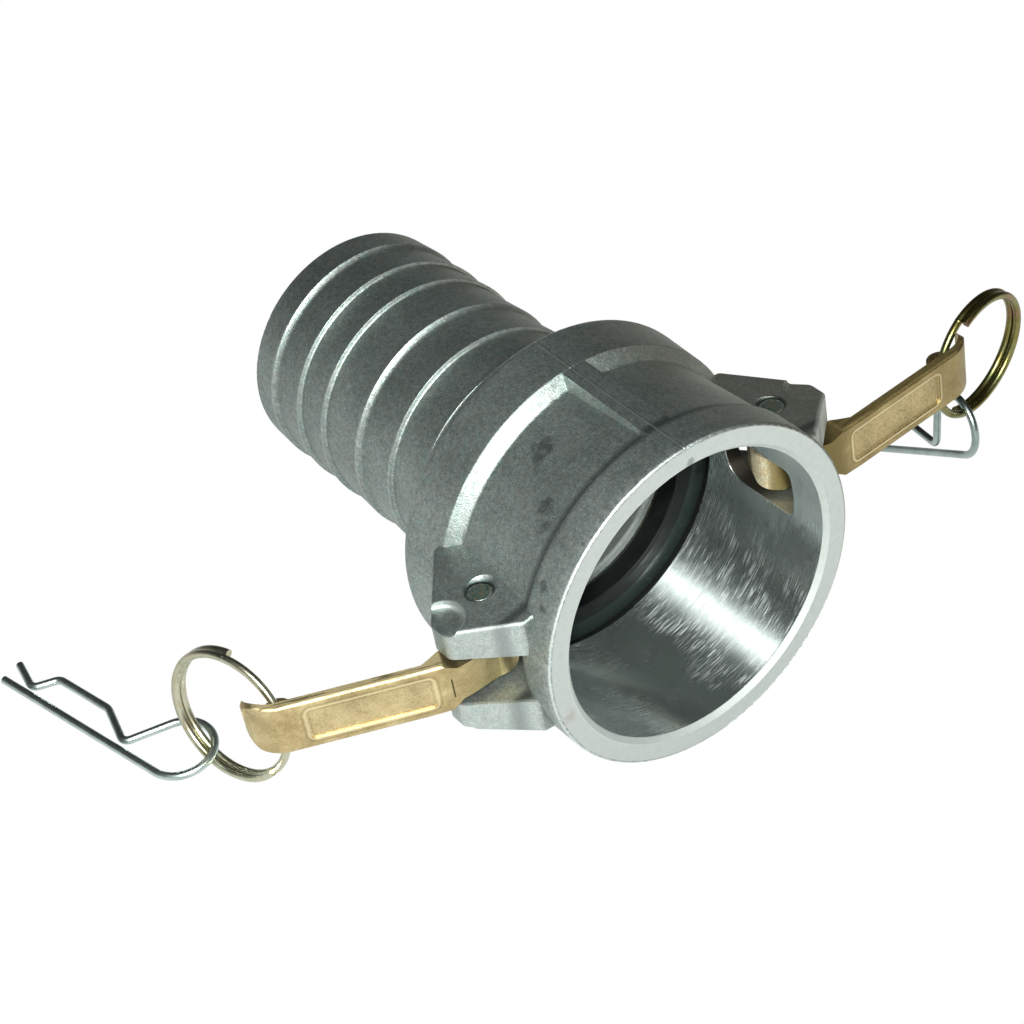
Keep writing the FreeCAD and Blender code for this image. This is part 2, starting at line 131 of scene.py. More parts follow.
@dataclass
class Field:
    """Value inside a node tree, with arithmetic."""

    graph: "Graph"
    socket: bpy.types.NodeSocket

    def _math(self, operation: str, *args: "Field | float") -> "Field":
        """Result of one math node."""
        return self.graph.node("Math", dict(enumerate(args)), operation=operation)

    def __add__(self, other: "Field | float") -> "Field":
        """Sum."""
        return self._math("ADD", self, other)

    def __radd__(self, other: float) -> "Field":
        """Sum with a number on the left."""
        return self._math("ADD", self, other)

    def __sub__(self, other: "Field | float") -> "Field":
        """Difference."""
        return self._math("SUBTRACT", self, other)

    def __rsub__(self, other: float) -> "Field":
        """Difference from a number."""
        return self._math("SUBTRACT", other, self)

    def __mul__(self, other: "Field | float") -> "Field":
        """Product."""
        return self._math("MULTIPLY", self, other)

    def __rmul__(self, other: float) -> "Field":
        """Product with a number on the left."""
        return self._math("MULTIPLY", self, other)

    def __truediv__(self, other: "Field | float") -> "Field":
        """Quotient."""
        return self._math("DIVIDE", self, other)

    def abs(self) -> "Field":
        """Absolute value."""
        return self._math("ABSOLUTE", self)

    def root(self) -> "Field":
        """Square root."""
        return self._math("SQRT", self)

    def angle(self, other: "Field") -> "Field":
        """Angle in radians of the point whose ordinate is this and whose abscissa is the other."""
        return self._math("ARCTAN2", self, other)

    def low(self, other: "Field | float") -> "Field":
        """Smaller of the two."""
        return self._math("MINIMUM", self, other)

    def high(self, other: "Field | float") -> "Field":
        """Larger of the two."""
        return self._math("MAXIMUM", self, other)

    def rise(self, start: float, end: float) -> "Field":
        """Smooth step.

        Args:
            start: Value at which it is 0.
            end: Value at which it is 1, which may be the lower of the two.

        Returns:
            Field from 0 to 1.
        """
        ends = {"To Min": 1.0, "To Max": 0.0} if start > end else {"To Min": 0.0, "To Max": 1.0}
        ends |= {"Value": self, "From Min": min(start, end), "From Max": max(start, end)}
        return self.graph.node("MapRange", ends, interpolation_type="SMOOTHSTEP")

    def near(self, place: float, half: float, soft: float) -> "Field":
        """Band about a place, from 0 at the half width to 1 at the soft one."""
        return (self - place).abs().rise(half, soft)

    def shift(self, by: float) -> "Field":
        """Position moved along each axis, so that two patterns differ."""
        return self.graph.node("VectorMath", {0: self, 1: (by, by, by)}, operation="ADD")

    def also(self, name: str | int) -> "Field":
        """Another output of the same node."""
        return Field(self.graph, self.socket.node.outputs[name])

    def parts(self) -> tuple["Field", "Field", "Field"]:
        """Components of a vector."""
        first = self.graph.node("SeparateXYZ", {0: self})
        return first, first.also(1), first.also(2)


class Graph:
    """Node tree of one finish."""

    def __init__(self, owner: bpy.types.Material | bpy.types.World) -> None:
        """Start with an empty tree.

        Args:
            owner: Material or world that the tree belongs to.
        """
        owner.use_nodes = True
        self.owner = owner
        self.tree = owner.node_tree
        self.tree.nodes.clear()

    def node(self, kind: str, inputs: Mapping[str | int, Value] | None = None, out: str | int = 0,
             stops: Sequence[tuple[float, str]] = (), **settings: object) -> Field:
        """Add a node with its settings and links.

        Args:
            kind: Node type without its common first part.
            inputs: Number, vector or field for each input socket.
            out: Output that is wanted.
            stops: Position and sRGB code of each stop of a colour ramp.
            settings: Properties of the node.

        Returns:
            The wanted output.
        """
        node = self.tree.nodes.new("ShaderNode" + kind)
        for name, value in settings.items():
            setattr(node, name, value)
        for name, value in (inputs or {}).items():
            if isinstance(value, Field):
                self.tree.links.new(value.socket, node.inputs[name])
            else:
                node.inputs[name].default_value = value
        while stops and len(node.color_ramp.elements) < len(stops):
            node.color_ramp.elements.new(0.5)
        for i, (place, code) in enumerate(stops):
            node.color_ramp.elements[i].position = place
            node.color_ramp.elements[i].color = srgb(code)
        return Field(self, node.outputs[out] if node.outputs else None)

    def position(self, axes: Matrix) -> Field:
        """Position in millimetres in a piece's own axes.

        Args:
            axes: Matrix from those axes to the row's, in millimetres.

        Returns:
            Position vector.
        """
        back = axes.inverted()
        place = {
            "Vector": self.node("TexCoord", out="Object"),
            "Location": back.translation,
            "Rotation": back.to_euler("XYZ"),
            "Scale": (MM, MM, MM),
        }
        return self.node("Mapping", place, vector_type="POINT")

    def point(self, x: "Field | float", y: "Field | float", z: "Field | float") -> Field:
        """Vector with these components."""
        return self.node("CombineXYZ", {0: x, 1: y, 2: z})

    def paint(self, base: Tint, *coats: tuple["Field | float", Tint]) -> Field:
        """Lay coats of colour over a base.

        Args:
            base: Colour below.
            coats: Cover from 0 to 1 and colour of each coat, the lowest first.

        Returns:
            Colour field.
        """
        for cover, colour in coats:
            pair = [c if isinstance(c, Field) else srgb(c) for c in (base, colour)]
            base = self.node("Mix", {0: cover, 6: pair[0], 7: pair[1]}, out=2, data_type="RGBA")
        return base

    def surface(self, relief: tuple[Field, float], **sockets: Value) -> bpy.types.Material:
        """Close the finish with its shader.

        Args:
            relief: Height field, and the height of one unit in millimetres.
            sockets: Values by socket name, with _ for a space.

        Returns:
            The material.
        """
        height, depth = relief
        values = {name.replace("_", " "): value for name, value in sockets.items()}
        bump = {"Strength": 1.0, "Distance": depth / MM, "Height": height}
        values["Normal"] = self.node("Bump", bump)
        self.node("OutputMaterial", {"Surface": self.node("BsdfPrincipled", values)})
        return self.owner


@dataclass(frozen=True)
class Lumps:
    """Irregular pattern of a real size.

    Attributes:
        size: Size of the largest lumps in millimetres.
        detail: Number of finer octaves.
        rough: Strength of the finer octaves.
    """

    size: float
    detail: float = 3.0
    rough: float = 0.55

    def over(self, at: Field) -> Field:
        """Pattern from 0 to 1.

        Args:
            at: Position in millimetres.

        Returns:
            Its value there.
        """
        sockets = {
            "Vector": at, "Scale": 1.0 / self.size, "Detail": self.detail, "Roughness": self.rough}
        return at.graph.node("TexNoise", sockets, out="Fac")


def length(*parts: Field) -> Field:
    """Length of a vector.

    Args:
        parts: Its components.

    Returns:
        Square root of the sum of their squares.
    """
    total = parts[0] * parts[0]
    for part in parts[1:]:
        total = total + part * part
    return total.root()


def ragged_spot(at: Field, centre: Sequence[float], size: float, wander: Field) -> Field:
    """Ragged round spot.

    Args:
        at: Position in millimetres.
        centre: Middle of the spot.
        size: Radius in millimetres.
        wander: Pattern that frays its edge.

    Returns:
        1 inside the spot, 0 outside.
    """
    away = [part - middle for part, middle in zip(at.parts(), centre)]
    far = length(*away) / size + (wander - 0.5) * 3.2
    return far.rise(1.1, 0.2)


class CastAluminium:
    """Sand-cast aluminium with machined surfaces.

    The mould leaves it dull grey and gritty. The turned bore mirrors the light in one long streak,
    broken by fine scratches round it, and the faced rim is pale and matt.
    """

    GRIT = Lumps(0.42, 3.0, 0.75)
    GRAIN = Lumps(1.3, 4.0, 0.65)
    CLOUD = Lumps(17.0, 3.0, 0.5)
    HUE = Lumps(2.4, 3.0, 0.6)
    FRAY = Lumps(3.0, 3.0, 0.6)
    FIN_GAPS = Lumps(2.5, 3.0, 0.6)
    TOOL_LINES = Lumps(1.0, 4.0, 0.65)
    WISPS = Lumps(1.0, 3.0, 0.62)
    PATCHES = Lumps(8.0, 2.0, 0.5)
    FACING = Lumps(1.8, 4.0, 0.6)
    GREYS = ((0.36, "6a716d"), (0.5, "919a96"), (0.64, "b9c1bd"))
    # millimetres of bore wall to a radian
    ARC = 38.0
    # middle and radius of each mark that handling left on the collar and the rim
    SMUDGES = (
        ((-29.8, -16.8, 39.5), 3.2), ((-28.6, -19.3, 38.4), 2.4), ((-17.6, -26.4, 34.4), 3.0),
        ((-15.2, -29.3, 32.0), 2.8), ((-7.0, -37.0, 24.6), 1.5), ((-5.5, -39.6, 20.4), 1.4),
    )
    PIT = ((0.0, 1.7, 40.0), 1.7)
    STAIN = ((0.0, -41.2, -8.8), 1.7)

    def __init__(self, part: Sizes) -> None:
        """Lay out the patterns and masks that colour, roughness and relief share.

        Args:
            part: Sizes of the coupling.
        """
        self.part = part
        self.graph = Graph(bpy.data.materials.new("cast_aluminium"))
        self.at = self.graph.position(part.laid_over())
        self.x, self.y, self.z = self.at.parts()
        self.radius = length(self.y, self.z)
        self.angle = self.z.angle(self.y)
        self.grit = self.GRIT.over(self.at)
        self.grain = self.GRAIN.over(self.at)
        self.fray = self.FRAY.over(self.at)
        self.patch = self.PATCHES.over(self.at)
        self.lay_out_cuts()
        self.lay_out_wear_and_light()
        self.lay_out_turning()

    def lay_out_cuts(self) -> None:
        """Masks of the machined surfaces: bore, mouth chamfer, rim face and shank's inside."""
        part, x, radius = self.part, self.x, self.radius
        bore_r, bore_end, chamfer = part.bore_r, part.bore_end, part.mouth_chamfer
        flat_r = part.rim_r - part.rim_round
        bore = radius.rise(bore_r + 0.23, bore_r + 0.07) * x.rise(bore_end - 0.3, bore_end)
        cone = x.rise(-chamfer - 0.2, -chamfer) * radius.rise(bore_r + 1.75, bore_r + 1.45)
        self.chamfer = cone * radius.rise(bore_r - 0.05, bore_r + 0.05)
        flat = x.rise(-0.45, -0.15) * radius.rise(bore_r + 0.45, bore_r + 0.65)
        self.face = flat.high(self.chamfer) * radius.rise(flat_r + 0.02, flat_r - 0.1)
        self.bore = bore * (1.0 - self.face)
        self.cut = self.bore.high(self.face)
        inside = radius.rise(part.pipe_r + 0.3, part.pipe_r)
        self.pipe = inside * x.rise(part.pipe_start, part.pipe_start - 1.0)

    def lay_out_wear_and_light(self) -> None:
        """Masks of bright grains, rib crests with wear and a painted highlight, smudges, the ears'
        sides that get painted light, and the mould joint's fin.
        """
        part, x, z, out = self.part, self.x, self.z, self.y.abs()
        self.speck = self.grit.rise(0.66, 0.74)
        on_crest = self.radius.rise(part.crest_r - 0.09, part.crest_r - 0.01)
        self.crest = on_crest * x.rise(part.shank_start, part.shank_start - 1.0)
        spots = [ragged_spot(self.at, middle, size, self.fray) for middle, size in self.SMUDGES]
        self.smudge = spots[0]
        for spot in spots[1:]:
            self.smudge = self.smudge.high(spot)
        slant = (x - part.ear_tip) * 0.75 + (out - part.ear_reach) * 0.66
        self.ear_side = slant.rise(-1.2, -0.4) * z.abs().rise(6.5, 7.5) * out.rise(43.5, 44.5)
        upper = z.rise(part.fin_height, part.fin_height + 4.0)
        on_skin = (1.0 - self.cut) * x.rise(-0.1, -0.6)
        broken = self.FIN_GAPS.over(self.graph.point(x, self.y, 0.0)).rise(0.30, 0.55)
        fin = self.y.near(part.fin_at, 0.36, 0.10) * upper * on_skin
        fin = fin * (0.35 + 0.65 * x.rise(-60.5, -59.5))
        edge = self.y.near(part.land_edge, 0.30, 0.05) * upper * on_skin * broken
        self.line = fin.high(edge * x.rise(-39.5, -38.5) * 0.35)

    def lay_out_turning(self) -> None:
        """Masks of the tool lines, the bore's scratches, a hazy band where a second reflection is
        painted, and the pit in the rim.
        """
        x, around, fray = self.x, self.angle * self.ARC, self.fray
        turned = self.graph.point(x * 3.4, around * 0.06, self.radius * 3.4)
        self.lines = self.TOOL_LINES.over(turned)
        drawn = self.graph.point(x * 3.0 + fray * 0.9, around * 0.16 + fray * 0.9, self.radius)
        wisp = self.WISPS.over(drawn)
        patch = self.patch
        self.lit = self.angle.near(-0.95, 0.75, 0.15)
        # band where pale scratches stand in for the flash's second reflection, a painted
        # reflection; the wall is rougher there too
        self.haze_and_reflection = self.angle.rise(-0.45, 0.05) * x.rise(-30.0, -14.0)
        # scratches are painted thicker along the lit streak, as painted highlight
        thick = (patch.rise(0.45, 0.60) * 0.5 + self.lit * patch.rise(0.35, 0.5)).low(1.0)
        self.scratch_and_reflection = (wisp.rise(0.52, 0.62) * thick).high(self.haze_and_reflection * wisp.rise(0.38, 0.60) * 0.7)
        self.pit = ragged_spot(self.at, *self.PIT, fray)

    def skin(self) -> Field:
        """Casting's skin: wear and a painted highlight on the ribs' crests and the rim's left edge.

        Returns:
            Colour of the clean skin.
        """
        hue = self.HUE.over(self.at.shift(40.0))
        tone = self.grit * 0.5 + self.grain * 0.3 + self.CLOUD.over(self.at) * 0.2
        skin = self.graph.node("ValToRGB", {0: tone}, stops=self.GREYS)
        left, rim_r = self.y.rise(15.0, -5.0), self.part.rim_r
        # painted highlight along the left of the rim's rounded edge, sparkling with the grit
        lip_highlight = self.radius.rise(rim_r - 0.35, rim_r - 0.2) * self.x.rise(-0.9, -0.5)
        lip_highlight = lip_highlight * self.grit.rise(0.35, 0.5)
        # wear with a painted sheen on the band next to the rim, kept to the left
        worn_and_sheen = self.x.rise(-3.6, -0.4) * self.radius.rise(43.0, 43.4) * self.grain.rise(0.3, 0.65)
        return self.graph.paint(
            skin,
            (hue.rise(0.45, 0.62) * 0.14, "a39688"),
            (hue.rise(0.48, 0.36) * 0.16, "7fa39b"),
            (self.y.rise(4.0, 28.0) * 0.35, "a39b85"),
            (self.speck * 0.6, "e4eae7"),
            # pale coats: wear and painted highlight on the crests, painted highlight and sheen at
            # the rim's left edge
            ((self.crest * 0.35).high(lip_highlight * left * 0.8).high(worn_and_sheen * left * 0.45), "dfe5e2"),
        )

    def grime_and_shade(self, skin: Field) -> Field:
        """Darker band at the step behind the rim, smudges of handling, and an oily film with
        painted shade round the pins.

        Args:
            skin: Colour of the clean skin.

        Returns:
            Colour with the dark band, smudges and painted shade on it.
        """
        # darker band at the step behind the rim
        behind = self.x.near(self.part.band_back, 2.3, 0.2) * self.radius.rise(42.0, 42.6)
        crevice = behind * (0.6 + 0.4 * self.grain.rise(0.3, 0.6))
        # painted shade in the countersinks round the pins, over an oily film
        dx, dy = self.x - self.part.pin_back, self.y.abs() - self.part.pin_out
        oil_and_shade = length(dx, dy).rise(4.1, 3.2) * self.z.abs().rise(13.0, 15.0)
        return self.graph.paint(
            skin, (crevice * 0.75, "3a403e"), (self.smudge * 0.55, "3a403e"), (oil_and_shade * 0.8, "1c2a27"))

    def ears(self, skin: Field) -> Field:
        """Painted highlight on the left ear's cut, painted light on the ears' sides, and painted
        shade on the walls of the cam windows between them.

        Args:
            skin: Colour of the skin.

        Returns:
            Colour with the ears' painted light and shade.
        """
        part, x, z, out = self.part, self.x, self.z, self.y.abs()
        far = length(x - part.pin_back, out - part.ear_cut_out)
        # painted highlight in crescents round the cut at the left ear's outer end
        crescent_highlight = far.near(part.ear_cut_r - 0.5, 1.0, 0.4) * z.rise(14.0, 15.0)
        crescent_highlight = crescent_highlight * self.y.rise(0.0, -5.0)
        between = z.abs().rise(part.ear_gap + 0.1, part.ear_gap - 0.1)
        deep = self.radius.rise(part.bore_r + 0.05, part.bore_r + 0.25)
        deep = deep * self.radius.rise(45.0, 44.0)
        # painted shade on the walls of the cam windows, darker towards the back
        window_shade = between * deep * x.near(-24.0, part.window_half + 0.3, part.window_half)
        return self.graph.paint(
            skin,
            # the ears' sides are painted lighter as painted light
            ((crescent_highlight * 0.35).high(self.ear_side * 0.22), "eef2f0"),
            (window_shade * 0.9 * x.rise(-17.0, -26.0), "39332b"),
        )

    def bore_wall(self) -> Field:
        """Turned wall of the bore, with tool lines and the scratches that adapters left, painted
        thicker along the lit streak and as a reflection in the hazy band.
        """
        return self.graph.paint(
            "b4bebb", (self.lines * 0.5 + self.patch * 0.5, "e4eae8"), (self.scratch_and_reflection * 0.6, "f6f9f8"))

    def rim(self) -> Field:
        """Faced rim, with a casting pit at its top and a brown stain at its left."""
        stain = ragged_spot(self.at, *self.STAIN, self.fray)
        return self.graph.paint(
            "b0b5b1",
            (self.FACING.over(self.at), "c4c8c4"),
            (self.pit * 0.6, "70776f"),
            (stain * 0.35, "9a8270"),
        )

    def colour(self) -> Field:
        """Colour of the whole body.

        Returns:
            Skin, joint line, rim, bore, shank's inside and groove, laid over one another.
        """
        part, x, radius = self.part, self.x, self.radius
        bore_r, start, end = part.bore_r, part.bore_end, part.groove_end
        # painted shade on the walls of the gasket's groove
        groove = radius.rise(bore_r - 0.25, bore_r - 0.05)
        groove = groove * radius.rise(part.groove_r + 0.2, part.groove_r)
        groove = groove * x.rise(start, start - 0.2) * x.rise(end - 0.4, end)
        return self.graph.paint(
            self.ears(self.grime_and_shade(self.skin())),
            (self.line * 0.6, "d3dad6"),
            (self.face, self.rim()),
            (self.bore, self.bore_wall()),
            # the shank's inside is painted lighter, as painted light where the flash reaches into
            # it
            (self.pipe * 0.6, "c3c8c4"),
            (groove * 0.9, "1a1e1d"),
        )

    def roughness(self) -> Field:
        """Roughness of the whole body.

        Returns:
            Roughness from 0 to 1.
        """
        rough = 0.52 - 0.10 * self.speck - 0.10 * self.crest.high(self.line)
        rough = rough + (0.46 + 0.30 * self.chamfer - rough) * self.face
        turned = 0.23 + 0.09 * self.lines * self.lit + 0.06 * self.haze_and_reflection + 0.22 * self.scratch_and_reflection
        rough = rough + (turned - rough) * self.bore
        return rough + (0.85 - rough) * self.pipe + 0.12 * self.ear_side

    def relief(self) -> Field:
        """Fine relief of the whole body.

        Returns:
            Its height.
        """
        cast = (self.grit * 0.6 + self.grain * 0.5) * (1.0 - self.cut) * (1.0 - self.pipe)
        turned = (self.lines * self.lit * 0.012 + self.scratch_and_reflection * 0.012) * self.bore
        faced = (self.lines * 0.04 - self.pit * 1.2) * self.face
        return cast + self.line * 0.8 - self.smudge * 0.2 + turned + faced

    def material(self) -> bpy.types.Material:
        """The body's material."""
        return self.graph.surface(
            Base_Color=self.colour(),
            relief=(self.relief(), 0.15),
            Roughness=self.roughness(),
            Metallic=1.0 - 0.025 * self.bore,
            Anisotropic=self.bore * (1.0 - 0.5 * self.scratch_and_reflection),
            Anisotropic_Rotation=0.25,
            Tangent=self.graph.node("Tangent", direction_type="RADIAL", axis="X"),
        )


@dataclass(frozen=True)
class CastBrass:
    """Tumbled cast brass: a soft golden sheen, brown where stained, with painted light and shade.
    """

    part: Sizes
    side: Side
    grain: Lumps = Lumps(0.6, 4.0, 0.68)
    cloud: Lumps = Lumps(7.0, 3.0, 0.55)
    stain: Lumps = Lumps(5.0, 4.0, 0.6)
    streaks: Lumps = Lumps(1.0, 3.0, 0.6)
    panel_middle: float = 30.0
    panel_half_length: float = 13.4
    panel_half_width: float = 3.0
    panel_corner: float = 1.6
    handle_half: float = 7.2
    crease_at: float = 10.9

    def material(self) -> bpy.types.Material:
        """Build the lever's finish.

        Returns:
            The lever's material.
        """
        on_left = self.side is Side.LEFT
        g = Graph(bpy.data.materials.new("cast_brass_" + self.side.name.lower()))
        at = g.position(self.part.lever_axes(self.side))
        u, w, z = at.parts()
        grain, cloud = self.grain.over(at), self.cloud.over(at)
        browned = self.stain.over(at.shift(17.0)).rise(0.55, 0.72)

        # lines of light and shade along the panel's outline
        beyond = ((u - self.panel_middle).abs() - self.panel_half_length).high(0.0)
        beside = (z.abs() - self.panel_half_width).high(0.0)
        edge = length(beyond, beside) - self.panel_corner
        outer = w.rise(10.2, 10.5)
        light = edge.near(0.1, 0.55, 0.1) * outer
        shade = edge.near(0.9, 0.45, 0.1).high(edge.near(-0.75, 0.4, 0.1) * 0.7) * outer
        inside = edge.rise(0.0, -0.6) * outer

        # narrow sides of the handle, painted lighter as painted light, most on the left, with dark
        # rubbing streaks; then neck and nose
        flank = z.abs().rise(self.handle_half - 0.5, self.handle_half - 0.1) * w.rise(3.0, 5.0)
        streak = self.streaks.over(g.point(u * 0.10, w * 1.3, z * 0.3)).rise(0.52, 0.60)
        # painted shade on the neck, much more on the right lever
        neck = u.rise(16.0, 10.0) * w.rise(3.0, 5.0)
        # wear with a painted highlight on the nose
        worn_and_sheen = u.rise(-1.2, -3.2) * w.rise(3.5, 1.5)
        # painted shade on the part tucked into the body
        hidden_shade = u.rise(0.0, -2.0) * w.rise(-4.4, -6.0)

        # the right lever's tones are painted darker than the left's, as painted shade
        tones = ("a28f66", "bfab7f", "d8c69a") if on_left else ("84724c", "9d8a5f", "b4a175")
        stops = tuple(zip((0.34, 0.5, 0.66), tones))
        tone = g.node("ValToRGB", {0: grain * 0.45 + cloud * 0.55}, stops=stops)
        coats = [
            (browned * 0.22, "7d6d4a"),
            (inside * grain.rise(0.3, 0.7) * 0.4, "cfbf98"),
            (light * 0.6, "e6d7b0"),
            (shade * 0.32, "75643f"),
            (flank * 0.75, "f0dfb0" if on_left else "b7a26c"),
            (flank * streak * 0.7, "5b4b2b"),
        ]
        # painted shade along the right lever's edges and towards its tip
        if not on_left:
            border_shade = (z.abs().rise(5.8, 7.0) * w.rise(3.0, 5.0)).high(u.rise(36.0, 47.0) * 0.6)
            coats.append((border_shade * 0.5, "6b5f3c"))
        coats += [
            (neck * (0.2 if on_left else 0.85), "6b5f3c"),
            (worn_and_sheen * 0.95, g.paint("e6cc94", (grain.rise(0.35, 0.65), "fff8e2"))),
            (hidden_shade * 0.7, "3c301c"),
        ]
        height = grain * 1.2 + cloud * 2.0 - inside * 0.3 + light * 1.0 + worn_and_sheen * grain * 5.0
        if on_left:
            # painted shade in the crease across the left lever's neck
            crease = u.near(self.crease_at, 0.26, 0.05) * z.rise(-3.6, -3.0) * z.rise(2.8, 2.2)
            crease = crease * w.rise(5.0, 6.0)
            coats.append((crease * 0.85, "2e2616"))
            height = height - crease * 2.0
        rough = 0.46 + 0.16 * worn_and_sheen + 0.14 * flank + 0.16 * (grain - 0.5) + 0.10 * (cloud - 0.5)
        colour = g.paint(tone, *coats)
        return g.surface((height, 0.06), Base_Color=colour, Roughness=rough, Metallic=1.0)


@dataclass(frozen=True)
class PlatedWire:
    """Zinc-plated steel wire: smooth and shiny, with a faint change of tint along it."""

    part: Sizes
    name: str
    stops: Stops
    rough: float
    tint: Lumps = Lumps(6.0, 2.0, 0.5)
    fine: Lumps = Lumps(0.8, 3.0, 0.6)

    def material(self) -> bpy.types.Material:
        """Build the wire's finish.

        Returns:
            The wire's material.
        """
        g = Graph(bpy.data.materials.new(self.name))
        at = g.position(self.part.laid_over())
        fine = self.fine.over(at)
        colour = g.node("ValToRGB", {0: self.tint.over(at)}, stops=self.stops)
        rough = self.rough + 0.12 * (fine - 0.5)
        return g.surface((fine, 0.004), Base_Color=colour, Roughness=rough, Metallic=1.0)


@dataclass(frozen=True)
class PinSteel:
    """Turned steel under an oily film: dark and blotched, bright along the pin's edge."""

    part: Sizes
    film: Lumps = Lumps(0.9, 4.0, 0.65)
    stops: Stops = ((0.35, "3c4d47"), (0.5, "6a7d75"), (0.60, "78694f"), (0.68, "8d9d96"))

    def material(self) -> bpy.types.Material:
        """Build the pins' finish.

        Returns:
            The pins' material.
        """
        g = Graph(bpy.data.materials.new("pin_steel"))
        at = g.position(self.part.laid_over())
        x, y, _ = at.parts()
        edge = length(x - self.part.pin_back, y.abs() - self.part.pin_out).rise(2.5, 2.75)
        film = self.film.over(at)
        colour = g.node("ValToRGB", {0: film}, stops=self.stops)
        colour = g.paint(colour, (edge * film.rise(0.4, 0.6) * 0.7, "aab2ae"))
        return g.surface((film, 0.05), Base_Color=colour, Roughness=0.48, Metallic=0.9)


@dataclass(frozen=True)
class GasketRubber:
    """Moulded black rubber: nearly no shine inside; the outer step is painted grey as a sheen, with
    dust.
    """

    part: Sizes
    cloud: Lumps = Lumps(5.0, 4.0, 0.6)
    fine: Lumps = Lumps(0.5, 2.0, 0.5)
    dust: Lumps = Lumps(1.2, 3.0, 0.6)

    def material(self) -> bpy.types.Material:
        """Build the gasket's finish.

        Returns:
            The gasket's material.
        """
        g = Graph(bpy.data.materials.new("gasket_rubber"))
        at = g.position(self.part.laid_over())
        _, y, z = at.parts()
        step = length(y, z).rise(self.part.gasket_lip_r, self.part.gasket_lip_r + 0.6)
        cloud, dust = self.cloud.over(at), self.dust.over(at).rise(0.62, 0.72)
        colour = g.node("ValToRGB", {0: cloud}, stops=[(0.3, "080a0a"), (0.7, "0e1211")])
        # the outer step is painted grey as a painted sheen, with dust specks on it
        colour = g.paint(colour, (step * 0.6, "242c2a"), (dust * step * 0.3, "56625e"))
        height = self.fine.over(at) * 0.4 + step * 0.5
        rough = 0.55 - 0.2 * step + 0.2 * (cloud - 0.5)
        return g.surface(
            (height, 0.06), Base_Color=colour, Roughness=rough, Metallic=0.0,
            Specular_IOR_Level=0.16)


def cover(node: bpy.types.Object, material: bpy.types.Material) -> None:
    """Give a CAD node its finish.

    Args:
        node: Object of the frame.
        material: Its new material.
    """
    node.data.materials.clear()
    node.data.materials.append(material)
    log.info("%s: %s", node.name, material.name)


@dataclass(frozen=True)
class Socket:
    """Cast body with the gasket and the lever pins that stay in it."""

    part: Sizes

    def dress(self, nodes: Mapping[str, bpy.types.Object]) -> None:
        """Give the body, the gasket and both pins their finishes.

        Args:
            nodes: CAD nodes by name.
        """
        cover(nodes["body"], CastAluminium(self.part).material())
        cover(nodes["gasket"], GasketRubber(self.part).material())
        pins = PinSteel(self.part).material()
        cover(nodes["pin_left"], pins)
        cover(nodes["pin_right"], pins)


@dataclass(frozen=True)
class CamArm:
    """Cam lever of one side with its split ring and safety clip."""

    part: Sizes
    side: Side
    pale: Stops = ((0.3, "a6a383"), (0.5, "c3c1ab"), (0.7, "b5a98c"))
    yellow: Stops = ((0.3, "676d45"), (0.45, "7b754b"), (0.55, "706938"), (0.7, "82684d"))
    white: Stops = ((0.3, "a6b3af"), (0.7, "c9d4d0"))
    dull: Stops = ((0.3, "7f8b87"), (0.7, "a2adaa"))

    def dress(self, nodes: Mapping[str, bpy.types.Object]) -> None:
        """Give the lever, the ring and the clip their finishes.

        Args:
            nodes: CAD nodes by name.
        """
        if self.side is Side.LEFT:
            ring = PlatedWire(self.part, "pale_zinc_wire", self.pale, 0.30)
            clip = PlatedWire(self.part, "zinc_wire", self.white, 0.34)
        else:
            ring = PlatedWire(self.part, "yellow_zinc_wire", self.yellow, 0.34)
            clip = PlatedWire(self.part, "dull_zinc_wire", self.dull, 0.34)
        lever = CastBrass(self.part, self.side)
        for kind, finish in (("lever", lever), ("ring", ring), ("clip", clip)):
            cover(nodes[f"{kind}_{self.side.name.lower()}"], finish.material())


@dataclass(frozen=True)
class Lamp:
    """Round lamp above the camera.

    Attributes:
        name: Its name.
        size: Its diameter in metres.
        watts: Its power.
        rise: Its height above the camera in metres.
        away: Its distance from the coupling's mouth, where the camera's is 1.
    """

    name: str
    size: float
    watts: float
    rise: float
    away: float = 1.0


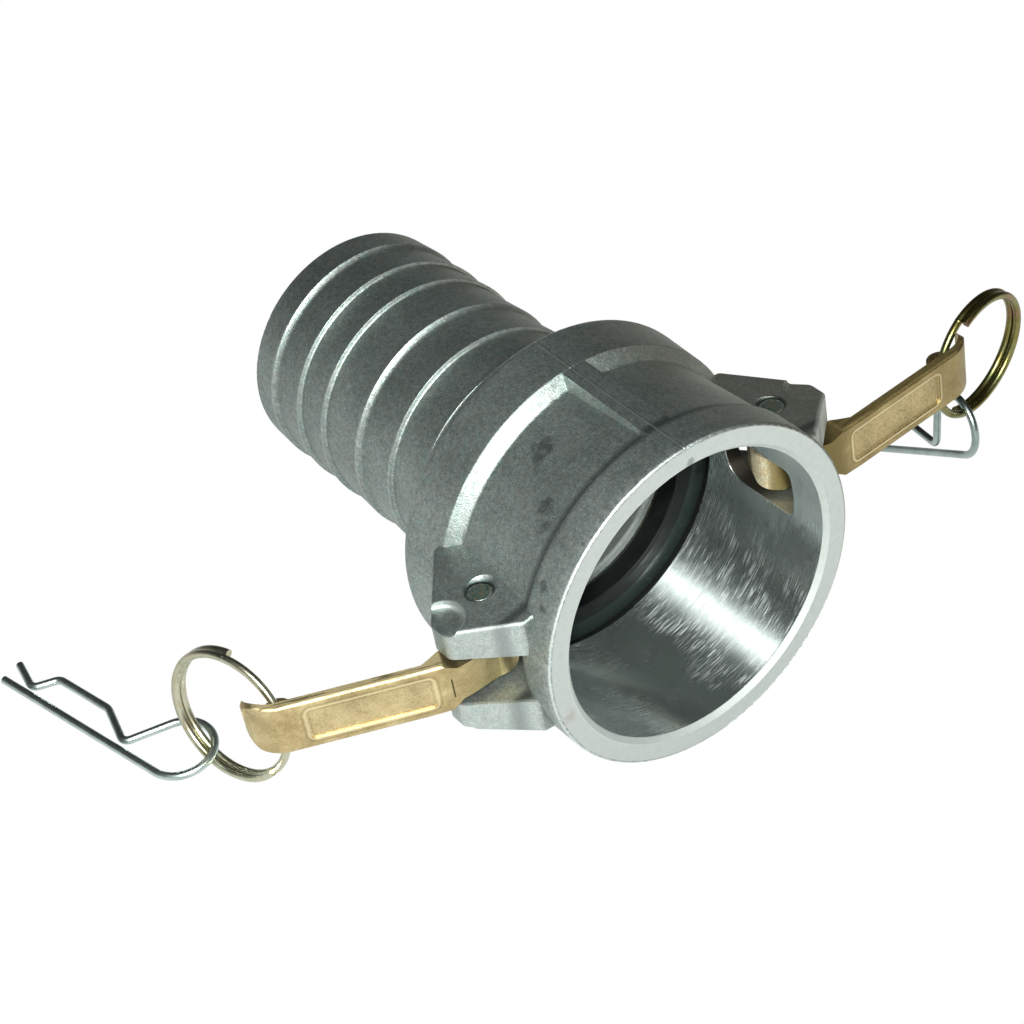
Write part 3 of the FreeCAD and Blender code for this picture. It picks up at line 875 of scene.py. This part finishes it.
@dataclass(frozen=True)
class Studio:
    """Camera, floor and light of the photograph.

    Attributes:
        part: Sizes of the coupling.
        eye_mm: Place of the camera that was fitted to the photograph, in the coupling's own axes.
        right: Its direction to the right.
        up: Its direction upwards.
        back: Its direction backwards.
        focal_px: Its focal length in pixels of the photograph.
        image_px: Width of the photograph.
        sensor_mm: Width of the sensor.
        aim: Point that the lamps look at, in metres.
        floor_gap: Gap between the object and the floor, in metres.
        flash: Flash of the camera.
        diffuser: Soft glow round the flash.
    """

    part: Sizes
    eye_mm: tuple[float, float, float] = (372.38, -258.67, 426.51)
    right: tuple[float, float, float] = (0.60017, 0.78552, -0.15086)
    up: tuple[float, float, float] = (-0.45614, 0.49104, 0.74216)
    back: tuple[float, float, float] = (0.65706, -0.37661, 0.65302)
    focal_px: float = 2690.455
    image_px: int = 1024
    sensor_mm: float = 36.0
    aim: tuple[float, float, float] = (-0.05, 0.0, 0.0)
    floor_gap: float = 0.0003
    flash: Lamp = Lamp("flash", 0.02, 4.5, 0.03)
    diffuser: Lamp = Lamp("diffuser", 0.24, 7.5, 0.05, 1.04)

    def row(self, vector: Sequence[float]) -> Vector:
        """The same vector in the row's axes."""
        return self.part.laid_over() @ Vector(vector)

    def camera(self) -> None:
        """Place the camera that was fitted to the photograph."""
        bpy.ops.object.select_all(action="DESELECT")
        bpy.ops.object.camera_add()
        cam = bpy.context.object
        cam.name = "camera"
        axes = [self.row(v).normalized() for v in (self.right, self.up, self.back)]
        place = Matrix(axes).transposed().to_4x4()
        place.translation = self.row(self.eye_mm) / MM
        cam.matrix_world = place
        cam.data.sensor_width = self.sensor_mm
        cam.data.lens = self.focal_px / self.image_px * self.sensor_mm
        cam.data.clip_start, cam.data.clip_end = 0.01, 20.0
        bpy.context.scene.camera = cam

    def light(self, lamp: Lamp) -> None:
        """Add a lamp that looks at the coupling.

        Args:
            lamp: Its size, power and place.
        """
        bpy.ops.object.select_all(action="DESELECT")
        bpy.ops.object.light_add(type="AREA")
        light = bpy.context.object
        light.name = lamp.name
        light.data.shape = "DISK"
        light.data.size = lamp.size
        light.data.energy = lamp.watts
        light.data.color = srgb("f5f9f8")[:3]
        at = self.row(self.eye_mm) / MM * lamp.away + self.row(self.up) * lamp.rise
        light.location = at
        light.rotation_euler = (Vector(self.aim) - at).to_track_quat("-Z", "Y").to_euler()

    def floor(self, lowest: float) -> None:
        """White table under the object, which metal mirrors and the camera sees as plain white.

        Args:
            lowest: Height of the object's lowest point in metres.
        """
        bpy.ops.object.select_all(action="DESELECT")
        bpy.ops.mesh.primitive_plane_add(size=12.0, location=(0, 0, lowest - self.floor_gap))
        table = bpy.context.object
        table.name = "floor"
        g = Graph(bpy.data.materials.new("white_table"))
        seen = g.node("LightPath", out="Is Glossy Ray")
        ahead = g.position(Matrix()).parts()[0].rise(-250.0, 150.0)
        mirrored = g.node("Emission", {"Color": srgb("f4f8f6"), "Strength": 0.75 + 0.75 * ahead})
        white = g.node("Emission", {"Color": srgb("ffffff"), "Strength": 1.0})
        shown = g.node("BsdfPrincipled", {
            "Base Color": srgb("e9eceb"), "Roughness": 0.9, "Specular IOR Level": 0.1})
        for ray, glow in ((seen, mirrored), (seen.also("Is Camera Ray"), white)):
            shown = g.node("MixShader", {0: ray, 1: shown, 2: glow})
        g.node("OutputMaterial", {"Surface": shown})
        table.data.materials.append(g.owner)
        table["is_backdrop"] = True

    def world(self) -> None:
        """White to the camera, a dim grey room that darkens upwards to everything else."""
        world = bpy.data.worlds.new("room")
        bpy.context.scene.world = world
        g = Graph(world)
        rise = g.node("TexCoord", out="Generated").parts()[2]
        falling = {
            "Value": rise, "From Min": 0.0, "From Max": 0.65, "To Min": 0.18, "To Max": 0.025}
        dim = g.node("MapRange", falling, interpolation_type="SMOOTHSTEP")
        room = g.node("Background", {"Color": srgb("e9eeec"), "Strength": dim})
        white = g.node("Background", {"Color": srgb("ffffff"), "Strength": 1.0})
        seen = g.node("LightPath", out="Is Camera Ray")
        g.node("OutputWorld", {"Surface": g.node("MixShader", {0: seen, 1: room, 2: white})})


def corners() -> list[list[float]]:
    """Lowest and highest corner of what is shown.

    Returns:
        Two plain lists of numbers.
    """
    return [list(c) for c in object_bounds()]


def main() -> None:
    """Dress each sub-assembly, then set the camera, the light and the stage."""
    logging.basicConfig(level=logging.INFO)
    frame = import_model()
    cad = corners()
    bpy.context.scene.view_settings.view_transform = "Standard"
    part = Sizes()
    for group in (Socket(part), CamArm(part, Side.LEFT), CamArm(part, Side.RIGHT)):
        group.dress(frame["nodes"])
    studio = Studio(part)
    studio.camera()
    studio.light(studio.flash)
    studio.light(studio.diffuser)
    studio.floor(cad[0][2])
    studio.world()
    log.info("dressed %d nodes", len(frame["nodes"]))


if __name__ == "__main__":
    main()
